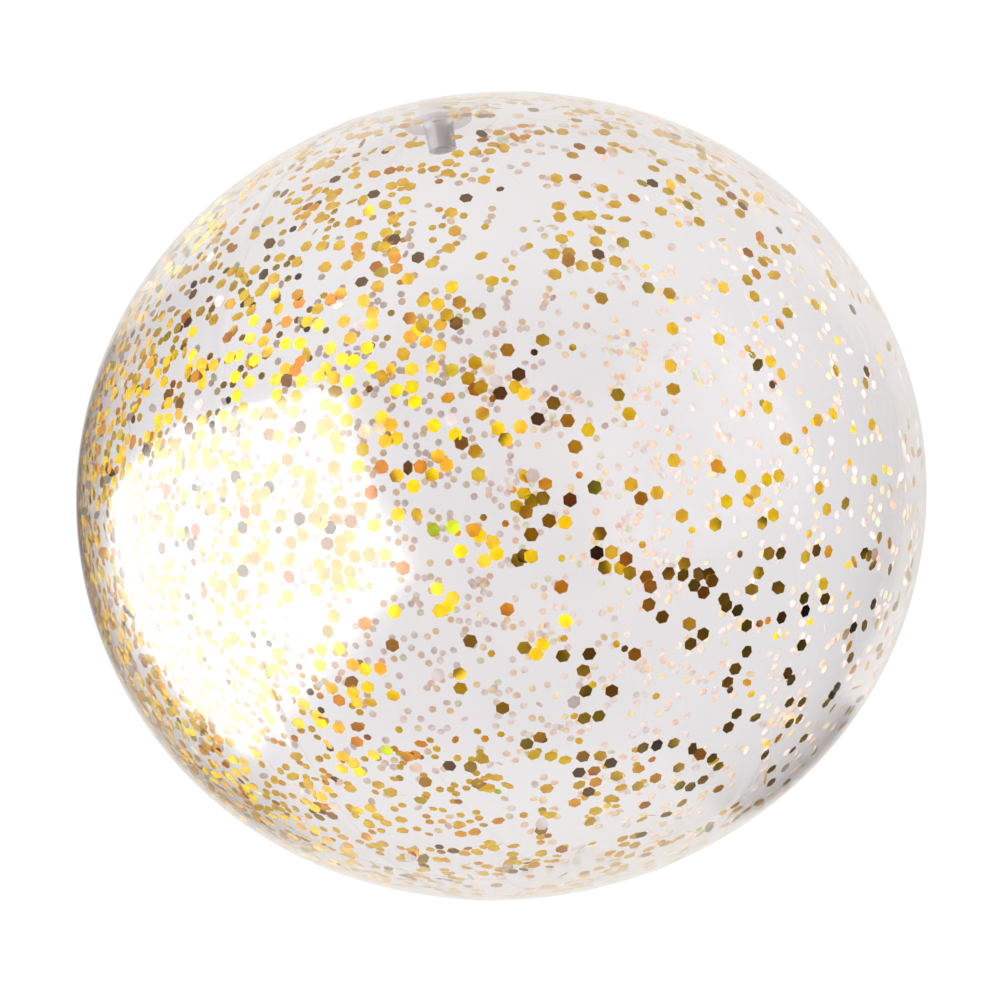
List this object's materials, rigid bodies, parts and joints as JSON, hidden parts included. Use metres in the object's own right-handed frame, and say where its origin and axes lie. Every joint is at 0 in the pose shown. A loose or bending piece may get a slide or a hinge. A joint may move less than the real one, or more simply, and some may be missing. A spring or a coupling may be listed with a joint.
{
  "type": "inflatable glitter ball",
  "caption": "Clear inflatable beach ball of welded film panels, with a push-in tethered-plug valve, a check flap and loose gold hexagonal glitter inside.",
  "frame": {"origin": "the ball's centre", "axes": "+Z along the pole axis, out of the valve; +X through the seam between the last panel and the first"},
  "size_m": [0.4006, 0.4, 0.3818],
  "materials": {
    "film": "clear gloss",
    "valve_vinyl": "clear satin",
    "glitter": "metallised foil"
  },
  "bodies": {
    "ball": {"panel_1": "film", "panel_2": "film", "panel_3": "film", "panel_4": "film", "panel_5": "film", "panel_6": "film", "end_patch_top": "film", "end_patch_bottom": "film", "glitter_1": "glitter", "glitter_2": "glitter", "glitter_3": "glitter", "glitter_4": "glitter", "glitter_5": "glitter", "glitter_6": "glitter", "glitter_loose": "glitter", "valve_flange": "valve_vinyl", "valve_skirt": "valve_vinyl"},
    "valve": {"valve_stem": "valve_vinyl"},
    "plug": {"valve_plug": "valve_vinyl", "plug_strap": "valve_vinyl"},
    "flap": {"check_flap": "valve_vinyl"}
  },
  "joints": [
    {"name": "valve_pop", "type": "slide", "parent": "ball", "child": "valve", "axis": [0, 0, 1], "range_m": [0, 0.011], "deforming": ["valve_skirt"]},
    {"name": "plug_swing", "type": "hinge", "parent": "valve", "child": "plug", "pos_m": [-0.0094, 0, 0.1907], "axis": [0, -1, 0], "range_deg": [0, 150]},
    {"name": "flap_open", "type": "hinge", "parent": "valve", "child": "flap", "pos_m": [-0.0048, 0, 0.1745], "axis": [0, 1, 0], "range_deg": [0, 40], "stiffness_Nm_per_rad": 0.0001, "springref_deg": -20.05}
  ]
}
